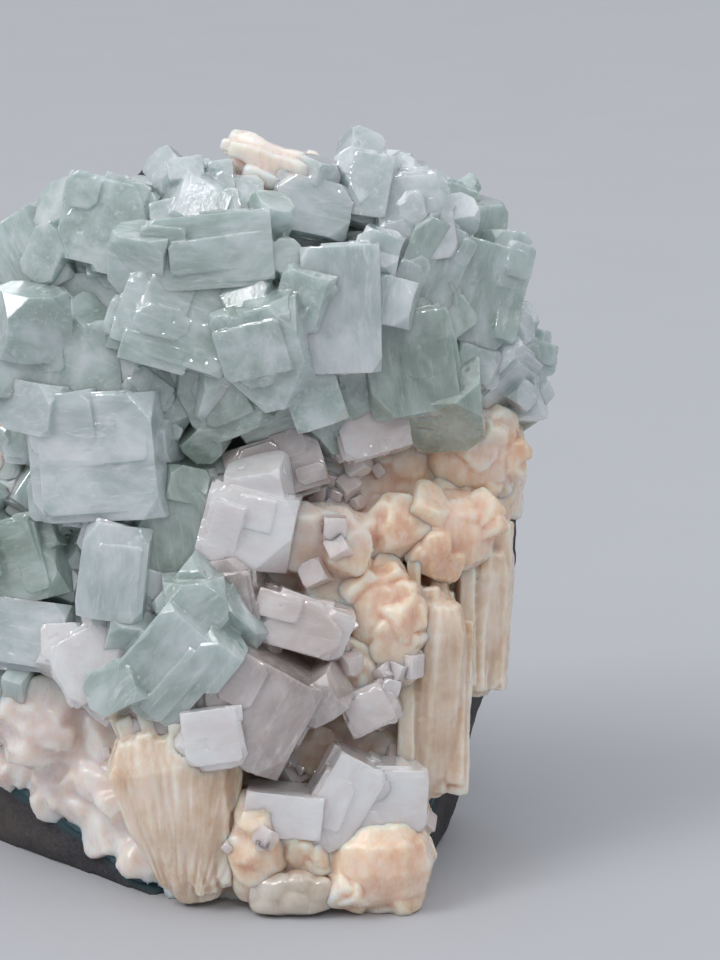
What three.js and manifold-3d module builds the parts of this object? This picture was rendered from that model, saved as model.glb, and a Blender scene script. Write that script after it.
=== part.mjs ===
// A cabinet specimen of green apophyllite: crystals on a stilbite crust, on a piece of basalt cavity wall.
// It stands on a flat sawn base. Millimetres, +Z up, and the crystal face looks along -Y.
// The origin is the middle of the base: the whole specimen's box is centred on it in X and Y.
import * as THREE from "three";
import { ConvexGeometry } from "three/addons/geometries/ConvexGeometry.js";
import { mergeVertices } from "three/addons/utils/BufferGeometryUtils.js";
import Module from "manifold-3d";

const wasm = await Module();
wasm.setup();

// ---- Driving dimensions ----

const FIT_GAP = 0.3; // clearance that touching pieces keep
const FRONT_DEPTH = -25; // the crystal face at the foot of the specimen
const FACE_LEAN = 0.27; // the face leans back this far for each millimetre of height
const FACE_BOW = 0.011; // its sides fall back by this times the square of the distance from its middle
const FACE_MIDDLE_X = 2;
const CRUST_THICK = 12.5; // stilbite between the basalt and the crystals, where it is full
const RIGHT_EDGE_X = 26.5; // the crust's right edge at the base
const RIGHT_EDGE_SLOPE = 0.33; // it moves out this far for each millimetre of height
const CRUST_GROWTH = 8; // distance over which the crust grows to that thickness
const LEFT_EDGE = { across: 0.42, up: 0.91, wave: 0.7 }; // direction and waviness of its lower left edge
const FACE_UNEVENNESS = 0.9; // how far the crust's front swells and dips
const CHUNK_ROUGHNESS = 0.018; // share of the radius by which the chunk's sides swell and dip
const LINING_THICK = 0.9; // celadonite skin on the basalt
const LINING_FOOT = 1.5; // the skin stops this far above the sawn base
const GREEN_CROWDING = 1.16; // green crystals are this much larger than their rows say, to interlock
const BLUSH_CROWDING = 1.06;
const REACH = 60; // how far the cutting solids run past the specimen

// Outline of the widest section, in X and Z, clockwise from the lower right. It runs below the base plane.
const OUTLINE = [
  [27, -4], [29.5, 5], [34.5, 20], [36.5, 31], [38.5, 43], [40, 52], [39.3, 60], [36.5, 69],
  [31.5, 79], [25, 86], [15, 93], [4, 93], [-6, 92], [-15, 89.5], [-24, 82.5], [-32, 73],
  [-37, 61], [-39, 48], [-39.5, 34], [-38.5, 20], [-36, 8], [-34, -4],
];
const OUTLINE_STEPS = 30;
const FACE_CELL = 6; // grid of the crystal face
const BASALT_CELL = 10; // grid of the basalt's front

// Sections from front to back: depth at the foot, share of the width, share of the height.
const SECTIONS = [
  [-27, 0.4, 0.72], [-24, 0.58, 0.82], [-19, 0.76, 0.9], [-12, 0.9, 0.96], [-4, 0.98, 0.99],
  [4, 1, 1], [12, 0.99, 0.975], [20, 0.94, 0.9], [27, 0.84, 0.78], [31, 0.66, 0.6],
];

// Flat breaks across the basalt: a point on each, and the direction that it faces.
const BREAKS = [
  { at: [-7, -26.4, 0], faces: [-0.67, -0.74, -0.06] }, // lower left, under the crystals
  { at: [24, 22, 40], faces: [0.72, 0.66, -0.12] },
  { at: [-24, 24, 55], faces: [-0.6, 0.74, 0.28] },
  { at: [2, 29, 52], faces: [0.12, 0.97, 0.2] },
  { at: [6, 24, 84], faces: [0.1, 0.5, 0.86] },
];

// Hollows of the crystal face: middle x and z, reach, depth.
const HOLLOWS = [
  { x: -4, z: 56, reach: 8.5, deep: 8 },
  { x: 8, z: 19, reach: 7, deep: 6 },
  { x: 9, z: 82, reach: 5, deep: 3 },
];

// ---- Colours ----

const COLOURS = {
  basalt: { color: 0x4c494b, roughness: 0.85 },
  celadonite: { color: 0x2c4a4a, roughness: 0.7 },
  stilbite: { color: 0xe2bd9a, roughness: 0.45 },
  calcite: { color: 0xc9bda4, roughness: 0.3 },
  green: { color: 0xb4cac2, roughness: 0.15 },
  blush: { color: 0xd9c8c2, roughness: 0.15 },
};

// ---- Pieces on the face ----
// Each row: x and z of its middle, how far that stands out of the face, width, height, depth as seen
// from the front, then roll (anticlockwise), yaw (front turned towards +X) and pitch (front tipped up)
// in degrees, and last a shape value. Earlier pieces are whole, and later ones grew against them.

// Crystals end in a flat face and pyramid faces. The shape value is how much of each corner is cut away.
const GREEN_CRYSTALS = {
  left_block: [-15, 56, 6.5, 14, 13, 12, 8, -18, 8, 0.25],
  crown_long: [-2, 82, 7.5, 13, 7, 10, 5, 0, 14, 0.15],
  crown_tall: [14, 75, 8, 8, 13, 11, 2, 3, 8, 0.2],
  crown_striated: [6, 71, 8.5, 9, 11, 11, 12, -14, -10, 0.8],
  crown_broad: [-6, 73, 7.5, 13, 10, 12, -20, 5, 18, 0.5],
  shoulder_large: [30, 75, 5.5, 9, 11, 11, -20, 25, 8, 0.3],
  shoulder_bright: [33, 65, 5, 7, 9, 9, -38, -22, 25, 0.35],
  lower_wedge: [-6, 33, 7.5, 9, 11, 10, -40, -12, -5, 0.35],
  crown_peak: [18, 88, 4.5, 8, 7, 9, -10, -10, 28, 0.85],
  crown_pale: [23, 84, 6, 8, 9, 10, 6, 8, 18, 0.3],
  crown_clear: [-4, 87, 7, 8, 7, 9, 20, 0, 25, 0.9],
  crown_roof: [10, 86, 5.5, 8, 6, 8, -14, 10, 20, 0.35],
  crown_slant: [24, 79, 7, 7, 10, 9, -28, 20, 8, 0.4],
  crown_smoky: [22, 68, 6, 10, 12, 11, 8, 12, 10, 0.5],
  crown_left: [-15, 84, 5, 9, 9, 10, -12, -8, 15, 0.35],
  crown_far_left: [-25, 79, 4, 9, 9, 9, 35, -20, 15, 0.4],
  left_upper: [-19, 66, 6, 10, 10, 10, 5, -5, 10, 0.3],
  left_wedge: [-10, 62, 7, 8, 7, 9, -35, 10, 15, 0.7],
  left_round: [-25, 58, 4, 6, 7, 7, -5, -15, 5, 0.9],
  crown_under: [0, 66, 6, 8, 10, 10, 25, -15, -8, 0.5],
  crown_shade: [14, 65, 4.5, 7, 8, 8, 0, 10, -8, 0.3],
  shoulder_facet: [30, 67, 5.5, 7, 7, 8, 30, 15, -10, 0.9],
  shoulder_edge: [36, 64, 2, 5, 7, 8, 5, 35, 5, 0.4],
  shoulder_back: [27, 85, 2, 5, 6, 7, -20, 30, 10, 0.2],
  crown_grey: [-16, 74, 3.5, 8, 8, 8, 10, -15, 5, 0.3],
  crown_recess: [9, 81, 3.5, 7, 8, 8, -8, 5, 0, 0.3],
  hollow_bladed: [8, 62, 2.5, 11, 8, 8, 30, 0, -12, 0.3],
  lower_tall: [-14, 42, 6, 7, 10, 9, -6, -5, 12, 0.3],
  lower_left: [-26, 41, 4, 9, 9, 9, 20, -18, 12, 0.6],
  lower_middle: [-7, 44, 3.5, 8, 12, 9, 5, 5, 10, 0.5],
  hollow_deep: [-5, 53, 2.5, 6, 9, 8, 8, 12, 0, 0.5],
  lower_pale: [-26, 32, 5, 10, 7, 9, -4, -12, 20, 0.5],
  lower_rose: [-17, 30, 5, 8, 7, 8, 30, -5, 15, 0.6],
};
const BLUSH_CRYSTALS = {
  centre: [3, 48, 6.5, 10, 9, 9, -12, -5, 5, 0.55],
  grey_large: [4, 26, 6, 12, 12, 11, -28, -8, 5, 0.45],
  bright_block: [7, 13, 8, 9, 5, 7, -6, 0, 6, 0.25],
  leaning: [14, 14, 6.5, 6, 11, 7, -30, 5, 5, 0.4],
  front_pair: [-2, 23, 8, 8, 7, 7, 10, -5, 8, 0.6],
  barrel: [9, 36, 6, 10, 6, 7, -14, 0, 10, 0.8],
  brown: [0, 40, 4.5, 8, 8, 8, 12, -8, 5, 0.7],
  grey_ledge: [6, 54, 3.5, 11, 7, 8, 18, 0, 15, 0.4],
  clear_ledge: [18, 59, 4.5, 8, 6, 7, 15, 5, 15, 0.6],
  long_ledge: [26, 61, 4, 10, 4, 6, -3, 8, 10, 0.5],
  striated: [20, 14, 6.5, 8, 7, 7, -5, 15, 5, 0.2],
  pink_fold: [-9, 26, 6, 9, 6, 7, -5, -10, 10, 0.7],
  small_clear: [18, 25, 5, 6, 5, 6, 22, 0, 10, 0.4],
};

// Stilbite sheaves, pillars and balls. The shape value is how square they are, and an eleventh number
// is how much wider the top is than the foot.
const STILBITE_PIECES = {
  fan: [-6, 12, 4.5, 15, 25, 11, 12, -4, 0, 2.8, 0.4],
  foot_lobe: [19, 6, 5, 14, 12, 12, 0, 10, 0, 2.3, 0],
  foot_ball: [9, 8, 4, 9, 8, 8, 0, 0, 0, 2.3, 0],
  right_pillar: [26, 24, 1.8, 7, 28, 9, -5, 20, 0, 3.5, 0],
  edge_pillar: [32, 32, 0.2, 6, 21, 9, -8, 32, 0, 3.5, 0],
  right_ball: [28, 45, 3, 13, 10, 10, 0, 15, 0, 2.6, 0],
  upper_mass: [31, 54, 1.2, 13, 11, 9, 5, 20, 0, 2.8, 0],
  middle_pillar: [19, 35, 3.2, 8, 14, 8, 0, 5, 0, 2.7, 0],
  top_blade: [6, 91, 3.5, 14, 6, 7, -30, 0, 10, 4, 0.1],
  left_sheaf: [-28, 57, 2.2, 9, 13, 9, 35, -25, 0, 3, 0.3],
};

// Rounder lumps that are one with the crust.
const CRUST_LUMPS = [
  [22, 46, 2.4, 9, 8, 8, 0, 5, 0, 2.5, 0],
  [12, 46, 2.6, 10, 8, 8, 0, 0, 5, 3.2, 0],
  [17, 29, 1, 14, 9, 8, 0, 5, 0, 2.5, 0],
  [10, 18, 1.5, 10, 7, 8, 0, 0, 0, 2.2, 0],
  [3, 8, 3, 6, 15, 8, 0, 0, 0, 3, 0],
  [-6, 92, 2, 14, 7, 9, 6, 0, 10, 2.5, 0],
  [-30, 71, 1, 8, 12, 9, 10, -30, 5, 2.8, 0],
  [-28, 47, 1, 9, 8, 8, -15, -25, 0, 2.6, 0],
  [-27, 22, 1.5, 16, 12, 9, -28, -25, 0, 2.6, 0],
  [13, 40, 2, 7, 7, 7, 0, 0, 0, 2.5, 0],
];
const BASE_CALCITE = [8, 3, 4, 12, 6, 8, 2, 0, 0, 3.4, 0];

// ---- Helpers ----

// A repeatable stream of numbers from 0 to 1.
function randomStream(seed) {
  let state = seed;
  return () => {
    state = (Math.imul(state, 1664525) + 1013904223) >>> 0;
    return state / 4294967296;
  };
}

// A gentle, repeatable unevenness from -1 to 1 over the face.
function unevenness(x, z) {
  return 0.5 * Math.sin(0.55 * x + 0.31 * z) + 0.5 * Math.sin(0.42 * z - 0.27 * x + 1.7);
}

function solidFrom(geometry) {
  const bare = geometry.index ? geometry.toNonIndexed() : geometry.clone();
  const points = new THREE.BufferGeometry().setAttribute("position", bare.getAttribute("position"));
  const merged = mergeVertices(points, 1e-4);
  return new wasm.Manifold(
    new wasm.Mesh({
      numProp: 3,
      vertProperties: merged.attributes.position.array,
      triVerts: new Uint32Array(merged.index.array),
    }),
  );
}

function geometryFrom(solid) {
  const mesh = solid.getMesh();
  return new THREE.BufferGeometry()
    .setAttribute("position", new THREE.BufferAttribute(mesh.vertProperties, 3))
    .setIndex(new THREE.BufferAttribute(mesh.triVerts, 1));
}

// The largest of a solid's separate bodies.
function mainBody(solid) {
  const bodies = solid.decompose();
  return bodies.reduce((best, body) => (body.volume() > best.volume() ? body : best));
}

function boxSolid(low, high) {
  const size = high.map((value, i) => value - low[i]);
  const box = new THREE.BoxGeometry(...size);
  box.translate(...low.map((value, i) => value + size[i] / 2));
  return solidFrom(box);
}

// ---- The rock ----

// Depth of the leaning, bowed face before it has any hollows.
function bowedDepth(x, z) {
  return FRONT_DEPTH + FACE_LEAN * z + FACE_BOW * (x - FACE_MIDDLE_X) ** 2;
}

// Depth of the crust's front at a place on the face.
function faceDepth(x, z) {
  const hollowed = HOLLOWS.reduce(
    (sum, h) => sum + h.deep * Math.exp(-((x - h.x) ** 2 + (z - h.z) ** 2) / h.reach ** 2),
    0,
  );
  return bowedDepth(x, z) + hollowed + FACE_UNEVENNESS * unevenness(x, z);
}

// Depth of the basalt's front. The crust thins to nothing along a rising line on the lower left break,
// and along a steeper one at the right edge.
function basaltDepth(x, z) {
  const [foot] = BREAKS;
  const breakDepth = foot.at[1] - ((x - foot.at[0]) * foot.faces[0]) / foot.faces[1];
  const wave = LEFT_EDGE.wave * Math.sin(0.4 * x);
  const aboveLeft = LEFT_EDGE.across * (x - foot.at[0]) + LEFT_EDGE.up * z + wave;
  const insideRight = RIGHT_EDGE_X + RIGHT_EDGE_SLOPE * z - x;
  const above = Math.min(aboveLeft, insideRight);
  const thick = above > 0 ? CRUST_THICK * (1 - Math.exp(-above / CRUST_GROWTH)) : 1.2 * above;
  return Math.max(bowedDepth(x, z), breakDepth) + thick;
}

// Everything behind a surface y = depth(x, z) + shift, as a block with one shaped face.
function blockBehind(depth, shift, cell) {
  const across = Math.round((2 * REACH) / cell);
  const up = Math.round((2 * REACH) / cell);
  const points = [];
  for (let j = 0; j <= up; j++)
    for (let i = 0; i <= across; i++) {
      const x = -REACH + i * cell;
      const z = -10 + j * cell;
      points.push([x, depth(x, z) + shift, z]);
    }
  const back = points.length;
  for (const [x, , z] of points.slice()) points.push([x, 2 * REACH, z]);
  const faces = [];
  const at = (i, j) => j * (across + 1) + i;
  const quad = (a, b, c, d) => faces.push(a, b, c, a, c, d);
  for (let j = 0; j < up; j++)
    for (let i = 0; i < across; i++) {
      quad(at(i, j), at(i + 1, j), at(i + 1, j + 1), at(i, j + 1));
      quad(back + at(i, j), back + at(i, j + 1), back + at(i + 1, j + 1), back + at(i + 1, j));
    }
  for (let i = 0; i < across; i++) {
    quad(at(i, 0), back + at(i, 0), back + at(i + 1, 0), at(i + 1, 0));
    quad(at(i, up), at(i + 1, up), back + at(i + 1, up), back + at(i, up));
  }
  for (let j = 0; j < up; j++) {
    quad(at(0, j), at(0, j + 1), back + at(0, j + 1), back + at(0, j));
    quad(at(across, j), back + at(across, j), back + at(across, j + 1), at(across, j + 1));
  }
  const geometry = new THREE.BufferGeometry()
    .setAttribute("position", new THREE.Float32BufferAttribute(points.flat(), 3))
    .setIndex(faces);
  return solidFrom(geometry);
}

// The whole chunk before the crystals: its sections lofted from front to back.
function chunkSolid() {
  const outline = new THREE.CatmullRomCurve3(
    OUTLINE.map(([x, z]) => new THREE.Vector3(x, 0, z)),
    true,
    "centripetal",
  ).getSpacedPoints(OUTLINE_STEPS).slice(0, OUTLINE_STEPS);
  const [frontDepth, backDepth] = [SECTIONS[0][0], SECTIONS.at(-1)[0]];
  const points = [];
  for (const [depth, wide, high] of SECTIONS) {
    const lean = FACE_LEAN * Math.min(1, (backDepth - depth) / (backDepth + 4));
    outline.forEach((p, k) => {
      const wave = (Math.sin(2.3 * k + 0.4 * depth) + Math.sin(1.1 * k - 0.7 * depth)) / 2;
      const radius = 1 + CHUNK_ROUGHNESS * wave;
      const x = p.x * wide * radius;
      const z = p.z > 0 ? p.z * high * radius : p.z;
      points.push([x, depth + lean * Math.max(0, z), z]);
    });
  }
  const ring = OUTLINE_STEPS;
  const rings = SECTIONS.length;
  points.push([0, frontDepth, 20], [0, backDepth, 30]);
  const faces = [];
  for (let r = 0; r < rings - 1; r++)
    for (let k = 0; k < ring; k++) {
      const [a, b] = [r * ring + k, r * ring + ((k + 1) % ring)];
      faces.push(a, a + ring, b + ring, a, b + ring, b);
    }
  const last = (rings - 1) * ring;
  for (let k = 0; k < ring; k++) {
    const next = (k + 1) % ring;
    faces.push(rings * ring, k, next);
    faces.push(rings * ring + 1, last + next, last + k);
  }
  const geometry = new THREE.BufferGeometry()
    .setAttribute("position", new THREE.Float32BufferAttribute(points.flat(), 3))
    .setIndex(faces);
  const solid = solidFrom(geometry);
  return solid.volume() > 0 ? solid : solidFrom(geometry.clone().setIndex(faces.slice().reverse()));
}

// A half-space as a large box whose near face passes through a point.
function breakSolid({ at, faces }) {
  const box = new THREE.BoxGeometry(4 * REACH, 4 * REACH, 2 * REACH);
  box.translate(0, 0, REACH);
  const turn = new THREE.Quaternion().setFromUnitVectors(
    new THREE.Vector3(0, 0, 1),
    new THREE.Vector3(...faces).normalize(),
  );
  box.applyQuaternion(turn);
  box.translate(...at);
  return solidFrom(box);
}

// ---- Crystals and lobes ----

// The corner points of the convex space inside a set of planes, each a normal and a distance.
function cornersInside(planes) {
  const corners = [];
  const inside = (p) => planes.every(({ normal, distance }) => normal.dot(p) <= distance + 1e-6);
  for (let i = 0; i < planes.length; i++)
    for (let j = i + 1; j < planes.length; j++)
      for (let k = j + 1; k < planes.length; k++) {
        const [a, b, c] = [planes[i], planes[j], planes[k]];
        const bc = b.normal.clone().cross(c.normal);
        const volume = a.normal.dot(bc);
        if (Math.abs(volume) < 1e-3) continue;
        const p = bc.multiplyScalar(a.distance);
        p.addScaledVector(c.normal.clone().cross(a.normal), b.distance);
        p.addScaledVector(a.normal.clone().cross(b.normal), c.distance);
        p.divideScalar(volume);
        if (inside(p) && !corners.some((q) => q.distanceTo(p) < 1e-3)) corners.push(p);
      }
  return corners;
}

// A tetragonal crystal: a square prism whose eight corners are cut by pyramid faces, each unevenly.
function crystalGeometry(wide, high, deep, cut, grow, seed) {
  const random = randomStream(seed);
  const half = new THREE.Vector3(wide / 2, deep / 2, high / 2);
  const planes = [];
  const addPlane = (normal, distance) => planes.push({ normal: normal.normalize(), distance });
  for (const axis of ["x", "y", "z"])
    for (const side of [-1, 1]) {
      const tilt = () => 0.05 * (random() - 0.5);
      const normal = new THREE.Vector3(tilt(), tilt(), tilt());
      normal[axis] = side;
      addPlane(normal, half[axis] + grow);
    }
  for (const sx of [-1, 1])
    for (const sy of [-1, 1])
      for (const sz of [-1, 1]) {
        const share = cut * (0.45 + 1.1 * random());
        const up = 1.4 * share * Math.min(half.x, half.z);
        const along = new THREE.Vector3(share * half.x, share * half.y, up);
        const normal = new THREE.Vector3(sx / along.x, sy / along.y, sz / along.z);
        const reach = half.x / along.x + half.y / along.y + half.z / along.z - 1;
        const distance = reach / normal.length() + grow;
        addPlane(normal, distance);
      }
  return new ConvexGeometry(cornersInside(planes));
}

// A rounded lobe: a squarish ellipsoid that may widen towards its top.
function lobeGeometry(wide, high, deep, square, widening, grow) {
  const around = 10;
  const rows = 6;
  const power = 2 / square;
  const bent = (value) => Math.sign(value) * Math.abs(value) ** power;
  const half = [wide / 2 + grow, deep / 2 + grow, high / 2 + grow];
  const points = [];
  for (let j = 0; j <= rows; j++)
    for (let i = 0; i < around; i++) {
      const [turn, rise] = [(2 * Math.PI * i) / around, Math.PI * (j / rows - 0.5)];
      const ring = bent(Math.cos(rise));
      const up = bent(Math.sin(rise));
      const spread = 1 + widening * up;
      points.push(new THREE.Vector3(
        half[0] * ring * bent(Math.cos(turn)) * spread,
        half[1] * ring * bent(Math.sin(turn)) * (1 + 0.4 * widening * up),
        half[2] * up,
      ));
    }
  return new ConvexGeometry(points);
}

// Puts a geometry at its row's place on the face, turned as the row says.
function placeOnFace(geometry, row) {
  const [x, z, out, , , , roll, yaw, pitch] = row;
  const degrees = THREE.MathUtils.degToRad;
  const turn = new THREE.Euler(-degrees(pitch), -degrees(roll), degrees(yaw), "ZXY");
  const move = new THREE.Matrix4().makeRotationFromEuler(turn);
  move.setPosition(x, faceDepth(x, z) - out, z);
  return solidFrom(geometry.clone().applyMatrix4(move));
}

function crystalSolid(row, crowding, seed, grow) {
  const [, , , wide, high, deep, , , , cut] = row;
  const size = [wide, high, deep].map((length) => length * crowding);
  return placeOnFace(crystalGeometry(...size, cut, grow, seed), row);
}

function lobeSolid(row, grow) {
  const [, , , wide, high, deep, , , , square, widening] = row;
  return placeOnFace(lobeGeometry(wide, high, deep, square, widening, grow), row);
}

// ---- Assembly ----

const aboveBase = boxSolid([-2 * REACH, -2 * REACH, 0], [2 * REACH, 2 * REACH, 3 * REACH]);
const pieces = new Map(); // node name to its solid and its colour

function keep(name, colour, solid) {
  pieces.set(name, { colour, solid: mainBody(solid.intersect(aboveBase)) });
}

function buildRock() {
  const chunk = BREAKS.reduce((rock, cut) => rock.subtract(breakSolid(cut)), chunkSolid());
  const behindFace = blockBehind(faceDepth, 0, FACE_CELL);
  const behindCrust = blockBehind(basaltDepth, 0, BASALT_CELL);
  const behindLining = blockBehind(basaltDepth, LINING_THICK, BASALT_CELL);
  const behindLiningGap = blockBehind(basaltDepth, LINING_THICK + FIT_GAP, BASALT_CELL);
  const behindCrustGap = blockBehind(basaltDepth, -FIT_GAP, BASALT_CELL);
  const lumps = CRUST_LUMPS.map((row) => lobeSolid(row, 0));
  const crust = chunk.intersect(behindFace).add(wasm.Manifold.union(lumps)).subtract(behindCrustGap);
  keep("basalt_matrix", "basalt", chunk.intersect(behindLiningGap));
  const lining = chunk.intersect(behindCrust).subtract(behindLining);
  const foot = boxSolid([-2 * REACH, -2 * REACH, -REACH], [2 * REACH, 2 * REACH, LINING_FOOT]);
  keep("celadonite_lining", "celadonite", lining.subtract(foot));
  keep("stilbite_crust", "stilbite", crust);
}

// Adds the pieces that grow on the face. Each is cut by the crust and by the pieces before it.
function buildPieces() {
  const behindFaceGap = blockBehind(faceDepth, -FIT_GAP, FACE_CELL);
  const behindCrustGap = blockBehind(basaltDepth, -FIT_GAP, BASALT_CELL);
  const lumps = CRUST_LUMPS.map((row) => lobeSolid(row, FIT_GAP));
  const ground = wasm.Manifold.union([behindFaceGap, behindCrustGap, ...lumps]);
  const grown = [];
  const overlaps = (a, b) =>
    [0, 1, 2].every((i) => a.min[i] < b.max[i] && b.min[i] < a.max[i]);
  const add = (name, colour, make) => {
    const whole = make(0);
    const box = whole.boundingBox();
    const near = grown.filter((g) => overlaps(g.box, box)).map((g) => g.solid);
    keep(name, colour, whole.subtract(wasm.Manifold.union([ground, ...near])));
    const swollen = make(FIT_GAP);
    grown.push({ solid: swollen, box: swollen.boundingBox() });
  };
  let seed = 11;
  for (const [name, row] of Object.entries(BLUSH_CRYSTALS))
    add("blush_apophyllite_" + name, "blush", crystalSolid.bind(null, row, BLUSH_CROWDING, seed++));
  for (const [name, row] of Object.entries(GREEN_CRYSTALS))
    add("green_apophyllite_" + name, "green", crystalSolid.bind(null, row, GREEN_CROWDING, seed++));
  for (const [name, row] of Object.entries(STILBITE_PIECES))
    add("stilbite_" + name, "stilbite", lobeSolid.bind(null, row));
  add("base_calcite", "calcite", lobeSolid.bind(null, BASE_CALCITE));
}

buildRock();
buildPieces();

// A mesh with a material of its own, placed at the middle of its solid.
function placedMesh(name, { colour, solid }) {
  const geometry = geometryFrom(solid);
  geometry.computeBoundingBox();
  const middle = geometry.boundingBox.getCenter(new THREE.Vector3());
  geometry.translate(-middle.x, -middle.y, -middle.z);
  const material = new THREE.MeshStandardMaterial({ ...COLOURS[colour], metalness: 0 });
  const mesh = new THREE.Mesh(geometry, material);
  mesh.name = name;
  mesh.position.copy(middle);
  return mesh;
}

const specimen = new THREE.Group();
for (const [name, piece] of pieces) specimen.add(placedMesh(name, piece));
const middle = new THREE.Box3().setFromObject(specimen).getCenter(new THREE.Vector3());
specimen.position.set(-middle.x, -middle.y, 0);

export default specimen;
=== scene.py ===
"""The look of the apophyllite specimen: glassy crystals on stilbite on basalt, around the CAD pieces."""
import math

import bmesh
import bpy
import numpy as np
from mathutils import Matrix, Vector
from mathutils.bvhtree import BVHTree


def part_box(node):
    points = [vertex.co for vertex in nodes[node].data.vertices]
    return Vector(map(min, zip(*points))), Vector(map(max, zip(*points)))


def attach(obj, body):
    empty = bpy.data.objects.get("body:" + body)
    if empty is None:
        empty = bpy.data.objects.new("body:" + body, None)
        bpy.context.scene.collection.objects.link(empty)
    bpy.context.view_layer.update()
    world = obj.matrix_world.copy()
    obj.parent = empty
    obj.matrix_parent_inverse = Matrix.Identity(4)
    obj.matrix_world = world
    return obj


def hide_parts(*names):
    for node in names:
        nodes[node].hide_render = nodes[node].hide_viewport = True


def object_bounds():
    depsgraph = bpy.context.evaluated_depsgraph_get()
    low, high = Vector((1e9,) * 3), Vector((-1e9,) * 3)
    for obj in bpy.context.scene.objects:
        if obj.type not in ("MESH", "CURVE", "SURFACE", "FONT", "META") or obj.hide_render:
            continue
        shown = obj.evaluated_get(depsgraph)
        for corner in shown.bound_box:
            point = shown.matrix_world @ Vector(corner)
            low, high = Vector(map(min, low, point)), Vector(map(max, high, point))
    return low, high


MM = 0.001
BODY = "root"

# Camera
CAMERA_RISE = math.radians(14.0)  # it looks down by this much
CAMERA_LENS = 111.0
SENSOR_HEIGHT = 36.0
AIM_SHARES = (0.39, 0.366, 0.545)  # of the box's right side, front and top
DISTANCE_SHARE = 3.95  # of the specimen's height

# Floor and lights, in metres and watts
FLOOR_RADIUS = 3.5
KEY_FROM = (-0.75, -0.35, 1.0)
KEY_STRENGTH = 0.75
KEY_WIDTH = math.radians(28)
SOFTBOXES = {  # place, size, power and colour
    "left_softbox": ((-0.9, -0.5, 0.8), (0.3, 0.35), 1.8, (1, 1, 1)),
    "front_softbox": ((0.15, -1.0, 0.95), (0.3, 0.22), 1.6, (1, 1, 1)),
    "right_softbox": ((0.9, -0.2, 0.7), (0.12, 0.3), 0.5, (0.93, 0.96, 1)),
}

# Surfaces
BASALT_VOXEL = 0.5 * MM
CRUST_VOXEL = 0.45 * MM
STILBITE_VOXEL = 0.28 * MM
CALCITE_VOXEL = 0.3 * MM
CRYSTAL_VOXEL = 0.17 * MM
LINING_EDGE = 1.2 * MM
CRYSTAL_EDGE = math.radians(22)  # crystal faces that meet at more than this have a crisp edge
CRYSTAL_SWELL = 1.05  # crystals fill the gaps that the CAD pieces keep
BASE_FADE = 2.0 * MM  # relief dies out this far above the sawn base
LINING_REACH = 9 * MM  # the basalt's relief grows over this distance from the lining

# Where the crust is green or warm
GREEN_FOOT = 24 * MM  # no green below this height
GREEN_FADE = 6 * MM
GREEN_REACH = 8 * MM  # how far a large piece colours the crust around it
WARM_REACH = 11 * MM

# Small pieces: how many, and their sizes in millimetres
GREEN_DRUSE = (420, (2.2, 5.0))
PALE_DRUSE = (110, (1.2, 3.2))
CRUST_BLOCKS = (420, (2.6, 6.0))
LUMP_BLOCKS = (16, (2.5, 5.0))
GREEN_FLANKS = (4, 7)  # fewest and most small crystals around a large one
BLUSH_FLANKS = (0, 2)

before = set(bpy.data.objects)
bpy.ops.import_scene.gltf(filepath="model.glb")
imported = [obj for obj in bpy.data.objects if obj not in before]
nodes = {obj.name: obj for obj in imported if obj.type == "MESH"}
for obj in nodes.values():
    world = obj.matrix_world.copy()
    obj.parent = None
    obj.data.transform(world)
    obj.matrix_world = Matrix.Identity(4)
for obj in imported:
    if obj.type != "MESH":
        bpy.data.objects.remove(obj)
cad_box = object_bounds()
low_corner, high_corner = (Vector(corner) for corner in cad_box)
CAMERA_AIM = Vector((high_corner.x, low_corner.y, high_corner.z)) * Vector(AIM_SHARES)
CAMERA_DISTANCE = DISTANCE_SHARE * high_corner.z


# ---- Noise, for shaping meshes ----

def hashed(ix, iy, iz, seed):
    """A repeatable number from 0 to 1 for each lattice point."""
    mixed = (ix * 374761393 + iy * 668265263 + iz * 1440662683 + seed * 974634777) & 0xFFFFFFFF
    mixed = ((mixed ^ (mixed >> 13)) * 1274126177) & 0xFFFFFFFF
    return ((mixed ^ (mixed >> 16)) & 0xFFFFFF) / 0xFFFFFF


def value_noise(points, size, seed=0):
    """Smooth noise from -1 to 1. Size is one length or three, the width of a blob along each axis."""
    scaled = points / np.asarray(size)
    cell = np.floor(scaled).astype(np.int64)
    part = scaled - cell
    part = part * part * (3 - 2 * part)
    total = np.zeros(len(points))
    for dx in (0, 1):
        for dy in (0, 1):
            for dz in (0, 1):
                weight = np.abs(1 - np.array((dx, dy, dz)) - part).prod(axis=1)
                total += weight * hashed(*(cell + (dx, dy, dz)).T, seed)
    return 2 * total - 1


def rough_noise(points, size, seed=0, octaves=4, gain=0.5):
    """Several scales of noise added up, from -1 to 1."""
    total = np.zeros(len(points))
    weights = 0.0
    for octave in range(octaves):
        weight = gain**octave
        total += weight * value_noise(points, np.asarray(size) / 2**octave, seed + 31 * octave)
        weights += weight
    return total / weights


def domes(points, size, seed=0):
    """Rounded lumps packed together: 1 at the middle of a lump, 0 in the creases."""
    scaled = points / size
    cell = np.floor(scaled).astype(np.int64)
    nearest = np.full(len(points), 9.0)
    for dx in (-1, 0, 1):
        for dy in (-1, 0, 1):
            for dz in (-1, 0, 1):
                corner = cell + (dx, dy, dz)
                jitter = np.stack([hashed(*corner.T, seed + k) for k in range(3)], axis=1)
                gap = ((corner + jitter - scaled) ** 2).sum(axis=1)
                nearest = np.minimum(nearest, gap)
    return np.clip(1 - nearest / 0.8, 0, 1)


# ---- Mesh helpers ----

def positions(mesh):
    flat = np.empty(3 * len(mesh.vertices))
    mesh.vertices.foreach_get("co", flat)
    return flat.reshape(-1, 3)


def normals(mesh):
    flat = np.empty(3 * len(mesh.vertices))
    mesh.vertex_normals.foreach_get("vector", flat)
    return flat.reshape(-1, 3)


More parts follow.
